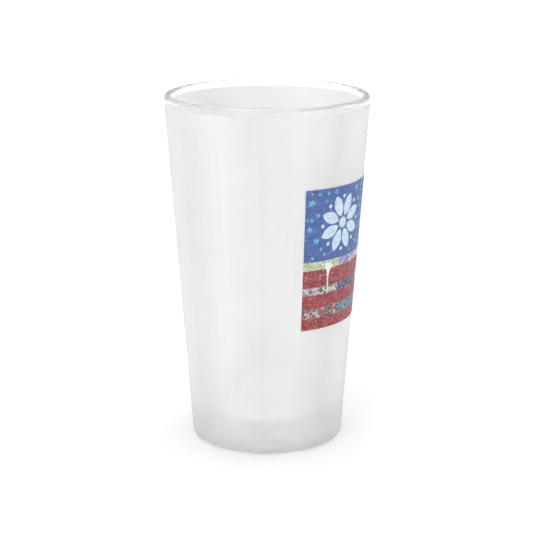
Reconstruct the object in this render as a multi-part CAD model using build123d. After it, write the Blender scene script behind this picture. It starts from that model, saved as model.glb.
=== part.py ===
from build123d import *
import math
import os
import random

# A 16 oz pint glass: one tapered glass body with a satin coat on the outside and a printed wrap.
# Millimetres, +Z up. The origin is on the glass's axis, in the plane that the foot stands on.
# +X runs through the middle of the print. Angles are degrees about +Z, from +X towards +Y.

# Glass body
height = 150.0
rim_outer_radius = 43.5
foot_outer_radius = 32.7
wall_at_rim = 3.0
wall_at_floor = 3.8
rim_round = 1.45
floor_height = 9.0
inner_corner_radius = 9.0
heel_radius = 2.0
standing_ring_inner_radius = 26.5
punt_depth = 2.0

# Satin coat on the outside of the wall
clear_rim_band = 3.3
coat_thickness = 0.12
coat_wrap_angle = 60.0

# Printed wrap: a white base with one colour layer on it
print_bottom = 55.5
print_top = 116.1
print_half_angle = 62.75
white_thickness = 0.10
colour_thickness = 0.10

# Layout of the picture. Bands are listed from the bottom up, and the first one is red.
band_heights = (5.1, 4.4, 5.8, 3.4, 7.5, 3.6)
short_band_count = 7
field_angle = 67.8

# Emblem: eight leaves round a disc, with a dot between each pair of leaves
emblem_angle = 28.5
emblem_level = 100.3
leaf_count = 8
leaf_length = 9.6
leaf_width = 4.9
leaf_start = 3.0
disc_radius = 2.3
dot_radius = 0.8
dot_orbit = 11.3

# Stars: thrown at random over the blue field
star_seed = 12
star_throws = 900
star_radii = (0.9, 2.1)
star_inner_ratio = 0.48
star_tilt = 25.0
star_gap = 0.7

# Paint splat: an uneven blob with droplets round it, and a run that hangs from it by a taper
splat_angle = 18.3
splat_level = 82.4
splat_radius = 1.6
lobe_count = 7
lobe_orbit = 1.2
lobe_radii = (1.0, 0.6)
droplet_count = 5
droplet_orbits = (2.6, 3.6)
droplet_radius = 0.28
run_width = 0.62
run_length = 10.5
taper_width = 2.8
taper_length = 3.9

# Turn from one lobe or droplet to the next, so that they never line up
scatter_turn = 137.5

# Stamps that cut the colour areas reach this far in and out of the wall
stamp_reach = 4.0

wall_slope = (rim_outer_radius - foot_outer_radius) / height
wall_lean = math.hypot(1, wall_slope)
coat_top = height - clear_rim_band
print_start = -print_half_angle
print_end = print_half_angle
field_end = print_start + field_angle
field_bottom = print_bottom + sum(band_heights)
colour_inner = coat_thickness + white_thickness
colour_outer = colour_inner + colour_thickness


def wall_point(level, outward=0.0):
    """Radius and height on the outer wall, or on a layer that lies outward of it."""
    return (foot_outer_radius + wall_slope * level + outward * wall_lean, level)


def heel_point(angle_below, outward=0.0):
    """Radius and height on the rounded heel, at an angle below the horizontal."""
    centre_radius = wall_point(heel_radius, -heel_radius)[0]
    reach = heel_radius + outward
    drop = math.radians(angle_below)
    return (centre_radius + reach * math.cos(drop), heel_radius - reach * math.sin(drop))


def glass_body():
    """Wall, floor, foot and rim, turned as one piece of glass."""
    floor_radius = wall_point(floor_height)[0] - wall_at_floor
    rim_inner_radius = rim_outer_radius - wall_at_rim
    foot_corner = (foot_outer_radius, 0)
    floor_corner = (floor_radius, floor_height)
    rim_corners = [(rim_outer_radius, height), (rim_inner_radius, height)]
    ring_edge = (standing_ring_inner_radius, 0)
    punt_top = (0, punt_depth)
    outline = Polyline(ring_edge, foot_corner, *rim_corners, floor_corner, (0, floor_height), punt_top)
    underside = TangentArc(punt_top, ring_edge, tangent=(1, 0))
    section = make_face(outline + underside)
    rounds = [(foot_corner, heel_radius), (floor_corner, inner_corner_radius)]
    rounds += [(corner, rim_round) for corner in rim_corners]
    for corner, radius in rounds:
        section = fillet(section.vertices().sort_by_distance(corner)[0], radius)
    return revolve(Plane.XZ * section, Axis.Z)


def frosted_coating():
    """Thin shell on the outer wall and round the heel, clear of the standing plane."""
    wall_angle = math.degrees(math.atan(wall_slope))
    middle_angle = (wall_angle + coat_wrap_angle) / 2
    outer_heel = [heel_point(angle, coat_thickness) for angle in (wall_angle, middle_angle, coat_wrap_angle)]
    inner_heel = [heel_point(angle) for angle in (coat_wrap_angle, middle_angle, wall_angle)]
    upper_edge = [wall_point(coat_top), wall_point(coat_top, coat_thickness)]
    outline = Polyline(inner_heel[-1], *upper_edge, outer_heel[0])
    outline += ThreePointArc(*outer_heel)
    outline += Line(outer_heel[-1], inner_heel[0])
    outline += ThreePointArc(*inner_heel)
    return revolve(Plane.XZ * make_face(outline), Axis.Z)


def layer(bottom, top, start, end, inner, outer):
    """A patch of a conical layer between two heights, two angles and two depths."""
    lower_edge = [wall_point(bottom, inner), wall_point(bottom, outer)]
    upper_edge = [wall_point(top, outer), wall_point(top, inner)]
    section = make_face(Polyline(*lower_edge, *upper_edge, close=True))
    return Rot(Z=start) * revolve(Plane.XZ * section, Axis.Z, end - start)


def colour_area(bottom, top, start, end):
    """A patch of the colour layer."""
    return layer(bottom, top, start, end, colour_inner, colour_outer)


def stamp(outline, angle, level):
    """A flat outline set against the wall, as a prism that passes through the colour layer."""
    place = Rot(Z=print_start + angle) * Pos(X=wall_point(level)[0], Z=level)
    return extrude(place * Plane.YZ.location * outline, stamp_reach, both=True)


def emblem_outline():
    """Leaves, disc and dots, drawn flat about the emblem's centre."""
    leaf_circle = (leaf_length**2 / 4 + leaf_width**2 / 4) / leaf_width
    shift = leaf_circle - leaf_width / 2
    leaf = Pos(Y=shift) * Circle(leaf_circle) & Pos(Y=-shift) * Circle(leaf_circle)
    leaf = Pos(X=leaf_start + leaf_length / 2) * leaf
    outline = Sketch() + Circle(disc_radius)
    step = 360 / leaf_count
    for index in range(leaf_count):
        outline += Rot(Z=(index + 0.5) * step) * leaf
        outline += Rot(Z=index * step) * Pos(X=dot_orbit) * Circle(dot_radius)
    return outline


def star_outline(radius, tilt):
    """A five-pointed star, drawn flat about its centre."""
    points = []
    for index in range(10):
        reach = radius if index % 2 == 0 else radius * star_inner_ratio
        turn = math.radians(90 + tilt + index * 36)
        points.append((reach * math.cos(turn), reach * math.sin(turn)))
    return make_face(Polyline(*points, close=True))


def star_stamps():
    """Stars thrown at random, and kept where they clear the edges, the emblem and each other."""
    draw = random.Random(star_seed)
    middle_radius = wall_point(emblem_level)[0]
    field_width = math.radians(field_angle) * middle_radius
    emblem_centre = (math.radians(emblem_angle) * middle_radius, emblem_level)
    emblem_reach = leaf_start + leaf_length
    kept = []
    for _ in range(star_throws):
        radius = draw.uniform(*star_radii)
        across = draw.uniform(0, field_width)
        level = draw.uniform(field_bottom, print_top)
        edge_room = min(across, field_width - across, level - field_bottom, print_top - level)
        emblem_room = math.dist((across, level), emblem_centre) - emblem_reach
        star_rooms = [math.dist((across, level), star[:2]) - star[2] for star in kept]
        if min(edge_room, emblem_room, *star_rooms, field_width) > radius + star_gap:
            kept.append((across, level, radius))
    stamps = []
    for across, level, radius in kept:
        outline = star_outline(radius, draw.uniform(-star_tilt, star_tilt))
        stamps.append(stamp(outline, math.degrees(across / middle_radius), level))
    return stamps


def splat_outline():
    """Blob, droplets and run, drawn flat about the blob's centre."""
    outline = Sketch() + Circle(splat_radius)
    for index in range(lobe_count):
        share = index / (lobe_count - 1)
        size = lobe_radii[0] + (lobe_radii[1] - lobe_radii[0]) * share
        outline += Rot(Z=index * scatter_turn) * Pos(X=lobe_orbit) * Circle(size)
    for index in range(droplet_count):
        share = index / (droplet_count - 1)
        orbit = droplet_orbits[0] + (droplet_orbits[1] - droplet_orbits[0]) * share
        outline += Rot(Z=(index + 0.5) * scatter_turn) * Pos(X=orbit) * Circle(droplet_radius)
    taper_top = [(-taper_width / 2, 0), (taper_width / 2, 0)]
    taper_end = [(run_width / 2, -taper_length), (-run_width / 2, -taper_length)]
    outline += make_face(Polyline(*taper_top, *taper_end, close=True))
    outline += Pos(Y=-run_length / 2) * Rectangle(run_width, run_length)
    outline += Pos(Y=-run_length) * Circle(run_width * 0.6)
    return outline


def bands():
    """Red and patchwork bands: full width below the blue field, and short ones beside it."""
    rows = []
    level = print_bottom
    for band_height in band_heights:
        rows.append((level, level + band_height, print_start))
        level += band_height
    short_height = (print_top - field_bottom) / short_band_count
    for index in range(short_band_count):
        short_bottom = field_bottom + index * short_height
        short_top = field_bottom + (index + 1) * short_height
        rows.append((short_bottom, short_top, field_end))
    areas = [colour_area(bottom, top, start, print_end) for bottom, top, start in rows]
    return areas[0::2], areas[1::2]


def solids_of(shapes):
    """Every solid of some shapes, as one group."""
    return Compound([solid for shape in shapes for solid in shape.solids()])


blue_area = colour_area(field_bottom, print_top, print_start, field_end)
emblem_stamp = stamp(emblem_outline(), emblem_angle, emblem_level)
stars = star_stamps()
splat_stamp = stamp(splat_outline(), splat_angle, splat_level)
red_areas, patch_areas = bands()
band_group = red_areas + patch_areas

nodes = {
    "glass_body": glass_body(),
    "frosted_coating": frosted_coating(),
    "print_white_base": layer(print_bottom, print_top, print_start, print_end, coat_thickness, colour_inner),
    "print_blue_field": blue_area - [emblem_stamp, *stars],
    "print_stars": solids_of([blue_area & star for star in stars]),
    "print_emblem": solids_of([blue_area & emblem_stamp]),
    "print_red_stripes": solids_of([area - splat_stamp for area in red_areas]),
    "print_patch_stripes": solids_of([area - splat_stamp for area in patch_areas]),
    "print_paint_splat": solids_of([area & splat_stamp for area in band_group]),
}

os.makedirs("parts", exist_ok=True)
for name, shape in nodes.items():
    export_step(shape, f"parts/{name}.step")
    print(name, "solids", len(shape.solids()), "volume", round(shape.volume, 2))
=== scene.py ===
import math

import bmesh
import bpy
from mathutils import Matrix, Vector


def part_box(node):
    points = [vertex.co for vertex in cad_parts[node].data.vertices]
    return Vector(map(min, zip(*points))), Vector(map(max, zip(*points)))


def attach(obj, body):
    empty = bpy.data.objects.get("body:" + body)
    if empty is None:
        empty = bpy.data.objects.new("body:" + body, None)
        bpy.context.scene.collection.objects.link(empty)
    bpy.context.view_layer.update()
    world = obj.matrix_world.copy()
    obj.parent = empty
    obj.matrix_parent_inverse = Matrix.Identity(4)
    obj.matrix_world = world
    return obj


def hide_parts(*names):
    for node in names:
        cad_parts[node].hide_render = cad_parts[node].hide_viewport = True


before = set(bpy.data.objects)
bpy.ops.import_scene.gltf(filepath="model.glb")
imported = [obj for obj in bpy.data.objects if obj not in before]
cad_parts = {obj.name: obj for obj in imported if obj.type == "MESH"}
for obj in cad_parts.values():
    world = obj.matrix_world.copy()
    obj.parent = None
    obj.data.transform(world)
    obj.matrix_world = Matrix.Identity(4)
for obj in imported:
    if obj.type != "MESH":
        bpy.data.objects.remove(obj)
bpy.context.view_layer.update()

# A frosted pint glass with a clear rim and a printed wrap, on a pale floor in soft light.
# Everything is in metres in the CAD frame: +Z up, the foot on z = 0, +X through the print's middle.

MM = 0.001

# The glass's own shape, as in the CAD model. Its overall sizes are read from the CAD boxes below.
WALL_SLOPE = 0.072
FOOT_RADIUS = 32.7 * MM
WALL_AT_RIM = 3.0 * MM
WALL_AT_FLOOR = 3.8 * MM
RIM_ROUND = 1.45 * MM
FLOOR_HEIGHT = 9.0 * MM
INNER_CORNER_RADIUS = 9.0 * MM
HEEL_RADIUS = 2.0 * MM
RING_INNER_RADIUS = 26.5 * MM
PUNT_DEPTH = 2.0 * MM
COAT_WRAP_ANGLE = 60.0
GLASS_IOR = 1.5

# The coat as drawn here lies just clear of the glass inside it and of the ink outside it
COAT_INNER = 0.02 * MM
COAT_OUTER = 0.10 * MM

# Soft upright streaks in the coat's colour. The waves are painted light: they stand for the soft bands
# that studio light leaves on the coat, but they belong to the coat and turn with the glass. The fine
# streaks and the clouds are random changes of tone. How many waves, the angle in radians that they
# start from, and how much the waves, the fine streaks and the clouds each count:
PAINTED_BAND_COUNT = 8
PAINTED_BAND_START = 4.64
PAINTED_BAND_SHARE = 0.22
FINE_SHARE = 0.5
CLOUD_SHARE = 0.5
# The coat is drawn duller below this height in millimetres, to stand for the shade at the foot, and
# this much of the streaks' value is left at the very bottom
FOOT_SHADE = 24.0
FOOT_LEVEL = 0.3

# Mesh: steps round the axis and along each rounded stretch
LATHE_STEPS = 288
PUNT_STEPS = 12
HEEL_STEPS = 12
COAT_HEEL_STEPS = 10
RIM_STEPS = 14
CORNER_STEPS = 16
# Edges that turn by more than this are shaded sharp
SHARP_ANGLE = math.radians(30)
# Straight runs longer than this get extra points at these shares of their length
LONG_RUN = 10 * MM
BRACE_SHARES = (0.01, 0.99)
# A radius below this is a point on the axis
ON_AXIS = 1e-9

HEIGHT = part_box("glass_body")[1][2]
COAT_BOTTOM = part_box("frosted_coating")[0][2]
COAT_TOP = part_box("frosted_coating")[1][2]
PRINT_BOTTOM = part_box("print_white_base")[0][2]
PRINT_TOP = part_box("print_white_base")[1][2]

# Colours of the patchwork bands, from the bottom up: each band's first stretch and its second one
PATCH_COLOURS = [
    (
        [(0.09, 0.12, 0.11), (0.30, 0.22, 0.22), (0.54, 0.09, 0.11), (0.66, 0.46, 0.46), (0.18, 0.20, 0.19)],
        [(0.10, 0.24, 0.31), (0.17, 0.33, 0.40), (0.06, 0.12, 0.18), (0.24, 0.36, 0.42)],
    ),
    (
        [(0.66, 0.64, 0.67), (0.11, 0.29, 0.15), (0.44, 0.38, 0.56),
         (0.11, 0.11, 0.12), (0.58, 0.30, 0.37), (0.70, 0.65, 0.60)],
        [(0.05, 0.07, 0.09), (0.20, 0.16, 0.36), (0.08, 0.10, 0.13), (0.13, 0.12, 0.22)],
    ),
    (
        [(0.58, 0.70, 0.44), (0.66, 0.76, 0.56), (0.50, 0.66, 0.50), (0.74, 0.74, 0.50), (0.46, 0.60, 0.40)],
        [(0.40, 0.34, 0.68), (0.60, 0.58, 0.74), (0.30, 0.24, 0.56), (0.72, 0.70, 0.78)],
    ),
]
# Millimetres: where the middle band's colours start, the top band's middle and half its height
MIDDLE_BAND = 68.0
TOP_BAND = 83.5
TOP_BAND_REACH = 5.0
# A sine round the wall changes from one stretch to the next: millimetres per stretch, and its start
PATCH_TURN = math.pi / 18.7
PATCH_START = 23.8 * PATCH_TURN
# Patches per millimetre
PATCH_SCALE = 1.05

# The camera stands where the photographer stood, a little past -Y towards +X
CAMERA_TURN = math.radians(5.0)
CAMERA_DISTANCE = 0.6302
CAMERA_HEIGHT = 0.2462
CAMERA_PITCH = math.radians(15.26)
CAMERA_LENS = 101.6
CAMERA_SHIFT = -0.0013

# Light panels round the glass: azimuth (0 is behind it, 90 on its right), elevation, half width, strength
PANELS = [
    (0, 90, 35, 3.2),
    (-165, 8, 20, 3.1),
    (-135, 8, 20, 0.7),
    (75, 8, 20, 2.8),
    (-150, 40, 26, 0.6),
    (-30, 40, 26, 0.6),
    (30, 40, 26, 0.4),
]
EVEN_LIGHT = 0.3
# Share of a panel's half width where it is at full strength, before its soft edge
PANEL_CORE = 0.6

# Light bounces: enough to cross both walls and the thick base, and fewer off matt and glossy faces
GLASS_BOUNCES = 48
OTHER_BOUNCES = 16
FLOOR_SIZE = 200
VIEW_LIMIT = 200


# ---------------------------------------------------------------- shapes

def wall_radius(level, outward=0.0):
    """Radius of the outer wall at a height, or of a layer outward of it."""
    return FOOT_RADIUS + WALL_SLOPE * level + outward * math.hypot(1, WALL_SLOPE)


def inner_slope():
    """How much the inner wall's radius grows for each unit of height."""
    floor_radius = wall_radius(FLOOR_HEIGHT) - WALL_AT_FLOOR
    rim_radius = wall_radius(HEIGHT) - WALL_AT_RIM
    return (rim_radius - floor_radius) / (HEIGHT - FLOOR_HEIGHT)


def inner_radius(level):
    """Radius of the inner wall at a height."""
    return wall_radius(HEIGHT) - WALL_AT_RIM - inner_slope() * (HEIGHT - level)


def arc(centre, radius, start, end, steps):
    """Points on a round stretch of an outline, as (radius, height). Angles are in degrees."""
    turns = [math.radians(start + (end - start) * step / steps) for step in range(steps + 1)]
    return [(centre[0] + radius * math.cos(turn), centre[1] + radius * math.sin(turn)) for turn in turns]


def braced(outline):
    """The same outline with two more points on each long straight run, so that shading stays true there."""
    result = outline[:1]
    for start, end in zip(outline, outline[1:]):
        if math.dist(start, end) > LONG_RUN:
            for share in BRACE_SHARES:
                result.append(tuple(a + (b - a) * share for a, b in zip(start, end)))
        result.append(end)
    return result


def heel_arc(outward, end_angle, steps):
    """The rounded heel, from the wall down to an angle below the horizontal."""
    centre = (wall_radius(HEEL_RADIUS, -HEEL_RADIUS), HEEL_RADIUS)
    wall_angle = math.degrees(math.atan(WALL_SLOPE))
    return arc(centre, HEEL_RADIUS + outward, -wall_angle, -end_angle, steps)


def glass_outline():
    """Half section of the glass, from the axis underneath, up the outside and down the inside."""
    outer_angle = math.degrees(math.atan(WALL_SLOPE))
    inner_angle = math.degrees(math.atan(inner_slope()))
    inner_lean = math.hypot(1, inner_slope())
    dome_radius = (RING_INNER_RADIUS**2 + PUNT_DEPTH**2) / (2 * PUNT_DEPTH)
    dome_angle = math.degrees(math.asin(RING_INNER_RADIUS / dome_radius))
    rim_level = HEIGHT - RIM_ROUND
    corner_level = FLOOR_HEIGHT + INNER_CORNER_RADIUS
    rim_outer_centre = (wall_radius(rim_level, -RIM_ROUND), rim_level)
    rim_inner_centre = (inner_radius(rim_level) + RIM_ROUND * inner_lean, rim_level)
    corner_centre = (inner_radius(corner_level) - INNER_CORNER_RADIUS * inner_lean, corner_level)
    outline = arc((0, PUNT_DEPTH - dome_radius), dome_radius, 90, 90 - dome_angle, PUNT_STEPS)
    outline += reversed(heel_arc(0, 90, HEEL_STEPS))
    outline.append((wall_radius(COAT_TOP), COAT_TOP))
    outline += arc(rim_outer_centre, RIM_ROUND, -outer_angle, 90, RIM_STEPS)
    outline += arc(rim_inner_centre, RIM_ROUND, 90, 180 - inner_angle, RIM_STEPS)
    outline += arc(corner_centre, INNER_CORNER_RADIUS, -inner_angle, -90, CORNER_STEPS)
    outline.append((0, FLOOR_HEIGHT))
    return braced(outline)


def coat_outline():
    """Closed section of the coat, from its clean upper edge down and round the heel."""
    sides = []
    for outward in (COAT_OUTER, COAT_INNER):
        top = (wall_radius(COAT_TOP, outward), COAT_TOP)
        sides.append(braced([top] + heel_arc(outward, COAT_WRAP_ANGLE, COAT_HEEL_STEPS)))
    return sides[0] + sides[1][::-1]


def lathe(name, outline, closed):
    """A smooth round mesh turned about Z from (radius, height) points. A closed outline is a ring."""
    mesh_builder = bmesh.new()
    rings = []
    for radius, level in outline:
        if abs(radius) < ON_AXIS:
            rings.append([mesh_builder.verts.new((0, 0, level))])
            continue
        turns = [2 * math.pi * step / LATHE_STEPS for step in range(LATHE_STEPS)]
        points = [(radius * math.cos(turn), radius * math.sin(turn), level) for turn in turns]
        rings.append([mesh_builder.verts.new(point) for point in points])
    pairs = list(zip(rings, rings[1:]))
    if closed:
        pairs.append((rings[-1], rings[0]))
    for lower, upper in pairs:
        for step in range(LATHE_STEPS):
            following = (step + 1) % LATHE_STEPS
            corners = [lower[step % len(lower)], lower[following % len(lower)]]
            corners += [upper[following % len(upper)], upper[step % len(upper)]]
            mesh_builder.faces.new(list(dict.fromkeys(corners)))
    bmesh.ops.recalc_face_normals(mesh_builder, faces=mesh_builder.faces)
    for face in mesh_builder.faces:
        face.smooth = True
    for edge in mesh_builder.edges:
        edge.smooth = edge.calc_face_angle(0) < SHARP_ANGLE
    mesh = bpy.data.meshes.new(name)
    mesh_builder.to_mesh(mesh)
    mesh_builder.free()
    piece = bpy.data.objects.new(name, mesh)
    bpy.context.scene.collection.objects.link(piece)
    return piece


# ---------------------------------------------------------------- materials

class Shader:
    """A material with one Principled shader, whose other nodes are added by short calls."""

    def __init__(self, name):
        self.material = bpy.data.materials.new(name)
        self.material.use_nodes = True
        self.tree = self.material.node_tree
        self.surface = self.tree.nodes["Principled BSDF"]

    def add(self, kind, inputs, **settings):
        """A node with its settings, and with each input either set or joined."""
        node = self.tree.nodes.new("ShaderNode" + kind)
        for key, value in settings.items():
            setattr(node, key, value)
        for key, value in inputs.items():
            self.feed(node.inputs[key], value)
        return node

    def feed(self, socket, value):
        """Joins a socket to an output, or sets its value."""
        if isinstance(value, bpy.types.NodeSocket):
            self.tree.links.new(value, socket)
        else:
            socket.default_value = value

    def set(self, **inputs):
        """Inputs of the Principled shader, with _ for the spaces in their names."""
        for key, value in inputs.items():
            self.feed(self.surface.inputs[key.replace("_", " ")], value)

    def calc(self, operation, *values):
        """A sum, product or other result of one to three numbers."""
        node = self.add("Math", dict(enumerate(values)), operation=operation)
        return node.outputs[0]

    def stretch(self, vector, x, y, z=1.0):
        """The same coordinates with each axis multiplied."""
        node = self.add("VectorMath", {0: vector, 1: (x, y, z)}, operation="MULTIPLY")
        return node.outputs[0]

    def place(self):
        """Coordinates of the CAD frame, in millimetres."""
        source = self.add("TexCoord", {})
        return self.stretch(source.outputs["Object"], 1 / MM, 1 / MM, 1 / MM)

    def round_the_axis(self):
        """A node with the separate axes in millimetres, and the angle round +Z in radians."""
        axes = self.add("SeparateXYZ", {0: self.place()})
        turn = self.calc("ARCTAN2", axes.outputs[1], axes.outputs[0])
        return axes, turn

    def unrolled(self):
        """Millimetres round the wall and up it, so that a pattern lies flat on the print."""
        axes, turn = self.round_the_axis()
        radius = wall_radius((PRINT_BOTTOM + PRINT_TOP) / 2) / MM
        around = self.calc("MULTIPLY", turn, radius)
        flat = self.add("CombineXYZ", {0: around, 1: axes.outputs[2]})
        return flat.outputs[0]

    def noise(self, vector, scale, detail=3.0, roughness=0.55):
        """Soft cloudy values from 0 to 1. The scale is in waves per millimetre."""
        inputs = {"Vector": vector, "Scale": scale, "Detail": detail, "Roughness": roughness}
        return self.add("TexNoise", inputs).outputs[0]

    def streaks(self):
        """Soft upright streaks round the wall: painted light bands, random fine streaks and clouds, and
        painted shade towards the foot. 0 is dull and 1 is bright.
        """
        axes, turn = self.round_the_axis()
        # Painted light: sine waves round the wall stand for the soft bands of studio light
        painted_light_bands = self.calc("SINE", self.calc("MULTIPLY_ADD", turn, PAINTED_BAND_COUNT, PAINTED_BAND_START))
        flat = self.add("CombineXYZ", {0: axes.outputs[0], 1: axes.outputs[1]})
        around = self.add("VectorMath", {0: flat.outputs[0]}, operation="NORMALIZE")
        fine = self.noise(around.outputs[0], 16.0, 3.0)
        cloud = self.noise(self.place(), 0.05, 3.0)
        level = self.calc("MULTIPLY_ADD", painted_light_bands, PAINTED_BAND_SHARE, self.calc("MULTIPLY", fine, FINE_SHARE))
        level = self.calc("ADD", level, self.calc("MULTIPLY", cloud, CLOUD_SHARE))
        # Painted shade: the value drops towards the foot
        painted_foot_shade = self.span(axes.outputs[2], 0.0, FOOT_SHADE, FOOT_LEVEL, 1.0)
        return self.calc("MULTIPLY", level, painted_foot_shade)

    def cells(self, vector, scale, feature="F1"):
        """Voronoi cells, as a node with its Distance and Color outputs."""
        inputs = {"Vector": vector, "Scale": scale}
        return self.add("TexVoronoi", inputs, feature=feature, voronoi_dimensions="2D")

    def span(self, value, low, high, new_low=0.0, new_high=1.0):
        """A value moved smoothly from one range to another, and held at the ends."""
        keys = ["Value", "From Min", "From Max", "To Min", "To Max"]
        inputs = dict(zip(keys, (value, low, high, new_low, new_high)))
        return self.add("MapRange", inputs, interpolation_type="SMOOTHSTEP").outputs[0]

    def ramp(self, value, colours, hard=False):
        """A colour picked along evenly spaced stops."""
        node = self.add("ValToRGB", {0: value})
        stops = node.color_ramp
        stops.interpolation = "CONSTANT" if hard else "LINEAR"
        while len(stops.elements) < len(colours):
            stops.elements.new(0.5)
        last = len(colours) if hard else len(colours) - 1
        for index, colour in enumerate(colours):
            stops.elements[index].position = index / last
            stops.elements[index].color = (*colour, 1)
        return node.outputs[0]

    def blend(self, amount, under, over, mode="MIX"):
        """One colour over another."""
        node = self.add("Mix", {}, data_type="RGBA", blend_type=mode)
        self.feed(node.inputs[0], amount)
        self.feed(node.inputs[6], under if isinstance(under, bpy.types.NodeSocket) else (*under, 1))
        self.feed(node.inputs[7], over if isinstance(over, bpy.types.NodeSocket) else (*over, 1))
        return node.outputs[2]

    def bump(self, height, depth_mm, strength=1.0):
        """A surface normal from a height pattern."""
        inputs = {"Height": height, "Distance": depth_mm * MM, "Strength": strength}
        return self.add("Bump", inputs).outputs[0]


def greys(*levels):
    """Grey colours, from their brightness."""
    return [(level, level, level) for level in levels]


def clear_glass():
    """Polished soda-lime glass with the faint waves that moulding leaves."""
    shader = Shader("clear_glass")
    waves = shader.noise(shader.place(), 0.05, 1.0)
    tints = [(0.9955, 0.996, 0.9957), (0.9988, 0.999, 0.9988)]
    tint = shader.ramp(shader.noise(shader.place(), 0.02, 1.0), tints)
    shader.set(Base_Color=tint, Roughness=0.0, IOR=GLASS_IOR, Transmission_Weight=1.0)
    shader.set(Normal=shader.bump(waves, 0.05, 0.2))
    return shader.material


def coated_glass():
    """The glass's outer face where the coat clings to it, so that light is scattered as it leaves."""
    shader = Shader("coated_glass")
    # The tint carries painted light bands and painted shade at the foot, over random streaks and clouds
    tint = shader.ramp(shader.streaks(), greys(0.93, 0.955, 0.975, 0.998))
    shader.set(Base_Color=tint, Roughness=0.4, IOR=GLASS_IOR, Transmission_Weight=0.6, Alpha=0.8)
    return shader.material


def frosted_coat():
    """Sprayed satin coat: a milky film with a fine grain, thin enough to see through."""
    shader = Shader("frosted_coat")
    grain = shader.noise(shader.place(), 5.0, 2.0)
    # The colour carries painted light bands and painted shade at the foot, over random streaks and clouds
    colour = shader.ramp(shader.streaks(), greys(0.80, 0.88, 0.925, 0.98))
    shader.set(Base_Color=colour, Roughness=0.6, Alpha=0.33)
    shader.set(Normal=shader.bump(grain, 0.02, 0.3))
    return shader.material


def coat_the_wall(glass):
    """Gives the coated material to the faces that lie under the coat."""
    glass.data.materials.append(coated_glass())
    for face in glass.data.polygons:
        outward = face.normal.x * face.center.x + face.normal.y * face.center.y > 0
        under_coat = COAT_BOTTOM < face.center.z < COAT_TOP
        if outward and under_coat:
            face.material_index = 1


def ink_finish(shader, colour, vector):
    """The satin surface that every ink shares, over a colour that is already worked out."""
    grain = shader.noise(vector, 4.0, 2.0)
    roughness = shader.span(shader.noise(vector, 0.4), 0.3, 0.7, 0.42, 0.58)
    shader.set(Base_Color=colour, Roughness=roughness, Normal=shader.bump(grain, 0.03, 0.5))
    shader.set(Specular_IOR_Level=0.25)
    return shader.material


def painted(shader, vector, dark, middle, light):
    """Uneven brushed paint: cloudy, with long strokes and a fine grain."""
    cloud = shader.noise(vector, 0.35, 6.0, 0.7)
    strokes = shader.noise(shader.stretch(vector, 0.35, 2.2), 1.0, 3.0)
    mixed = shader.calc("ADD", shader.calc("MULTIPLY", cloud, 0.55), shader.calc("MULTIPLY", strokes, 0.45))
    tone = shader.span(mixed, 0.34, 0.66)
    return shader.ramp(tone, [dark, middle, light])


def flecked(shader, vector, under, scale, share, size, colours):
    """Small round spots of paint, on a share of the cells."""
    cells = shader.cells(vector, scale)
    pick = shader.add("SeparateColor", {0: cells.outputs["Color"]})
    chosen = shader.calc("LESS_THAN", pick.outputs[0], share)
    reach = shader.span(pick.outputs[1], 0, 1, size * 0.5, size)
    near = shader.calc("LESS_THAN", cells.outputs["Distance"], reach)
    spots = shader.ramp(pick.outputs[2], colours, hard=True)
    return shader.blend(shader.calc("MULTIPLY", chosen, near), under, spots)


def white_ink():
    """The white under the picture, with the faint cloud of a rolled layer."""
    shader = Shader("white_ink")
    vector = shader.unrolled()
    colour = shader.ramp(shader.noise(vector, 0.3, 4.0), greys(0.90, 0.95))
    return ink_finish(shader, colour, vector)


def blue_ink():
    """Deep blue, worn lighter in places, with a few stray specks."""
    shader = Shader("blue_ink")
    vector = shader.unrolled()
    colour = painted(shader, vector, (0.070, 0.120, 0.320), (0.095, 0.158, 0.385), (0.140, 0.220, 0.470))
    specks = [(0.30, 0.45, 0.62), (0.55, 0.12, 0.10), (0.50, 0.55, 0.30), (0.20, 0.35, 0.60)]
    colour = flecked(shader, vector, colour, 0.55, 0.16, 0.22, specks)
    return ink_finish(shader, colour, vector)


def star_ink():
    """Light cyan blue, thin in places so that the darker blue shows."""
    shader = Shader("star_ink")
    vector = shader.unrolled()
    wear = shader.span(shader.noise(vector, 0.8, 5.0), 0.35, 0.65)
    colour = shader.ramp(wear, [(0.10, 0.28, 0.55), (0.16, 0.47, 0.74), (0.28, 0.62, 0.84)])
    return ink_finish(shader, colour, vector)


def emblem_ink():
    """Pale blue white, brushed so that fine darker scratches cross it."""
    shader = Shader("emblem_ink")
    vector = shader.unrolled()
    wear = shader.span(shader.noise(vector, 0.5, 5.0), 0.3, 0.7)
    colour = shader.ramp(wear, [(0.50, 0.66, 0.84), (0.64, 0.77, 0.90), (0.76, 0.85, 0.94)])
    scratches = shader.span(shader.noise(shader.stretch(vector, 0.7, 3.0), 1.4, 2.0), 0.52, 0.66)
    colour = shader.blend(shader.calc("MULTIPLY", scratches, 0.5), colour, (0.32, 0.48, 0.72))
    dots = [(0.30, 0.46, 0.72), (0.86, 0.92, 0.97)]
    colour = flecked(shader, vector, colour, 1.5, 0.55, 0.30, dots)
    return ink_finish(shader, colour, vector)


def red_ink():
    """Brick red with darker strokes, a fine grain and flecks of other paints thrown over it."""
    shader = Shader("red_ink")
    vector = shader.unrolled()
    colour = painted(shader, vector, (0.17, 0.032, 0.038), (0.35, 0.072, 0.082), (0.52, 0.150, 0.150))
    grain = [(0.13, 0.03, 0.04), (0.54, 0.30, 0.30), (0.18, 0.03, 0.04), (0.50, 0.20, 0.19)]
    colour = flecked(shader, vector, colour, 2.1, 0.42, 0.36, grain)
    light = [(0.62, 0.55, 0.50), (0.30, 0.45, 0.40), (0.50, 0.42, 0.15)]
    light += [(0.16, 0.26, 0.42), (0.70, 0.62, 0.60)]
    colour = flecked(shader, shader.stretch(vector, 1.0, 0.8), colour, 0.9, 0.14, 0.24, light)
    return ink_finish(shader, colour, vector)


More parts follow.
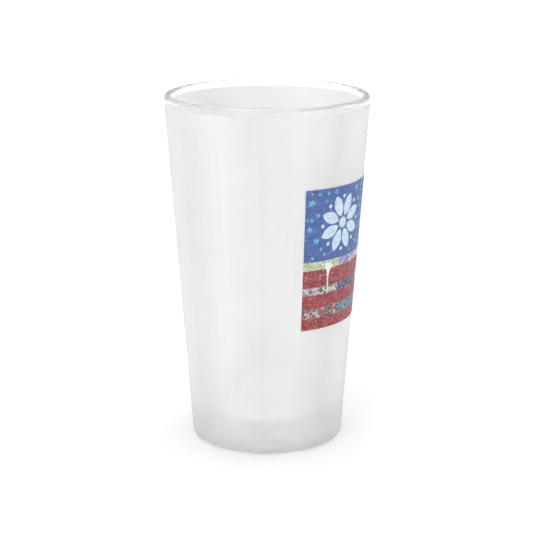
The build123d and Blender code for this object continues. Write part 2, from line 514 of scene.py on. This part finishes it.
def patch_ink():
    """Bands of small torn patches. Each band has its own colours, and so has each stretch of it."""
    shader = Shader("patch_ink")
    vector = shader.unrolled()
    warp = shader.noise(vector, 0.7, 4.0)
    bent = shader.add("VectorMath", {0: vector, 1: warp}, operation="ADD").outputs[0]
    torn = shader.stretch(bent, 0.7, 1.0)
    pick = shader.add("SeparateColor", {0: shader.cells(torn, PATCH_SCALE).outputs["Color"]}).outputs[0]
    axes = shader.add("SeparateXYZ", {0: vector})
    change = shader.calc("SINE", shader.calc("MULTIPLY_ADD", axes.outputs[0], PATCH_TURN, PATCH_START))
    stretch = shader.calc("GREATER_THAN", change, 0.0)
    bands = []
    for first, second in PATCH_COLOURS:
        first_patches = shader.ramp(pick, first, hard=True)
        second_patches = shader.ramp(pick, second, hard=True)
        bands.append(shader.blend(stretch, first_patches, second_patches))
    above_low = shader.calc("GREATER_THAN", axes.outputs[1], MIDDLE_BAND)
    in_top = shader.calc("COMPARE", axes.outputs[1], TOP_BAND, TOP_BAND_REACH)
    colour = shader.blend(in_top, shader.blend(above_low, bands[0], bands[1]), bands[2])
    edges = shader.cells(torn, PATCH_SCALE, feature="DISTANCE_TO_EDGE")
    seam = shader.span(edges.outputs["Distance"], 0.02, 0.09, 0.55, 0.0)
    colour = shader.blend(seam, colour, (0.05, 0.07, 0.07))
    marks = [(0.75, 0.74, 0.72), (0.06, 0.06, 0.08), (0.50, 0.10, 0.10)]
    marks += [(0.10, 0.20, 0.14), (0.62, 0.60, 0.66)]
    colour = flecked(shader, vector, colour, 1.9, 0.40, 0.36, marks)
    return ink_finish(shader, colour, vector)


def splat_ink():
    """Thick white paint, a little uneven."""
    shader = Shader("splat_ink")
    vector = shader.unrolled()
    colour = shader.ramp(shader.noise(vector, 0.8, 4.0), [(0.78, 0.80, 0.84), (0.95, 0.95, 0.95)])
    return ink_finish(shader, colour, vector)


def floor_paint():
    """Matt pale studio floor."""
    shader = Shader("floor_paint")
    tone = shader.ramp(shader.noise(shader.place(), 0.01, 2.0), greys(0.885, 0.895))
    shader.set(Base_Color=tone, Roughness=1.0, Specular_IOR_Level=0.0)
    return shader.material


# ---------------------------------------------------------------- stage

def direction(azimuth, elevation):
    """A unit vector. Azimuth 0 points to +Y, behind the glass, and 90 to +X, on its right."""
    flat = math.cos(math.radians(elevation))
    across = flat * math.sin(math.radians(azimuth))
    return (across, flat * math.cos(math.radians(azimuth)), math.sin(math.radians(elevation)))


def studio_light(even, panels):
    """Soft light from all round: an even part, plus wide round panels with soft edges."""
    world = bpy.data.worlds.new("studio")
    world.use_nodes = True
    nodes = world.node_tree.nodes
    links = world.node_tree.links
    rays = nodes.new("ShaderNodeTexCoord").outputs["Generated"]
    total = nodes.new("ShaderNodeValue")
    total.outputs[0].default_value = even
    level = total.outputs[0]
    for azimuth, elevation, width, strength in panels:
        facing = nodes.new("ShaderNodeVectorMath")
        facing.operation = "DOT_PRODUCT"
        links.new(rays, facing.inputs[0])
        facing.inputs[1].default_value = direction(azimuth, elevation)
        glow = nodes.new("ShaderNodeMapRange")
        glow.interpolation_type = "SMOOTHSTEP"
        links.new(facing.outputs["Value"], glow.inputs["Value"])
        glow.inputs["From Min"].default_value = math.cos(math.radians(width))
        glow.inputs["From Max"].default_value = math.cos(math.radians(width * PANEL_CORE))
        glow.inputs["To Max"].default_value = strength
        join = nodes.new("ShaderNodeMath")
        join.operation = "ADD"
        links.new(level, join.inputs[0])
        links.new(glow.outputs[0], join.inputs[1])
        level = join.outputs[0]
    links.new(level, nodes["Background"].inputs["Strength"])
    nodes["Background"].inputs["Color"].default_value = (1, 1, 1, 1)
    bpy.context.scene.world = world


def set_light_paths():
    """Enough bounces for the walls and the base, and no filter, which would darken the glass inside."""
    paths = bpy.context.scene.cycles
    paths.max_bounces = GLASS_BOUNCES
    paths.transmission_bounces = GLASS_BOUNCES
    paths.transparent_max_bounces = GLASS_BOUNCES
    paths.glossy_bounces = OTHER_BOUNCES
    paths.diffuse_bounces = OTHER_BOUNCES
    paths.blur_glossy = 0.0


def add_floor():
    """A plane wide enough to fill every view."""
    bpy.ops.mesh.primitive_plane_add(size=FLOOR_SIZE)
    floor = bpy.context.object
    floor.name = "studio_floor"
    floor.data.materials.append(floor_paint())


def add_camera():
    """The camera, level from side to side and pitched down at the glass."""
    camera = bpy.data.objects.new("camera", bpy.data.cameras.new("camera"))
    camera.data.lens = CAMERA_LENS
    camera.data.sensor_width = 36
    camera.data.shift_x = CAMERA_SHIFT
    camera.data.clip_end = VIEW_LIMIT
    across = CAMERA_DISTANCE * math.sin(CAMERA_TURN)
    camera.location = (across, -CAMERA_DISTANCE * math.cos(CAMERA_TURN), CAMERA_HEIGHT)
    camera.rotation_euler = (math.pi / 2 - CAMERA_PITCH, 0, CAMERA_TURN)
    bpy.context.scene.collection.objects.link(camera)
    bpy.context.scene.camera = camera


# ---------------------------------------------------------------- build

def add_piece(name, outline, closed, material, node):
    """A lathed piece that stands for its CAD node."""
    piece = lathe(name, outline, closed)
    piece.data.materials.append(material)
    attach(piece, "root")
    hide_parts(node)
    return piece


def paint_node(node, material):
    """Gives a CAD node its finished material."""
    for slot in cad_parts[node].material_slots:
        slot.material = material


glass = add_piece("glass", glass_outline(), False, clear_glass(), "glass_body")
coat_the_wall(glass)
add_piece("satin_coat", coat_outline(), True, frosted_coat(), "frosted_coating")
paint_node("print_white_base", white_ink())
paint_node("print_blue_field", blue_ink())
paint_node("print_stars", star_ink())
paint_node("print_emblem", emblem_ink())
paint_node("print_red_stripes", red_ink())
paint_node("print_patch_stripes", patch_ink())
paint_node("print_paint_splat", splat_ink())

add_floor()
add_camera()
studio_light(even=EVEN_LIGHT, panels=PANELS)
set_light_paths()
bpy.context.scene.view_settings.view_transform = "Standard"
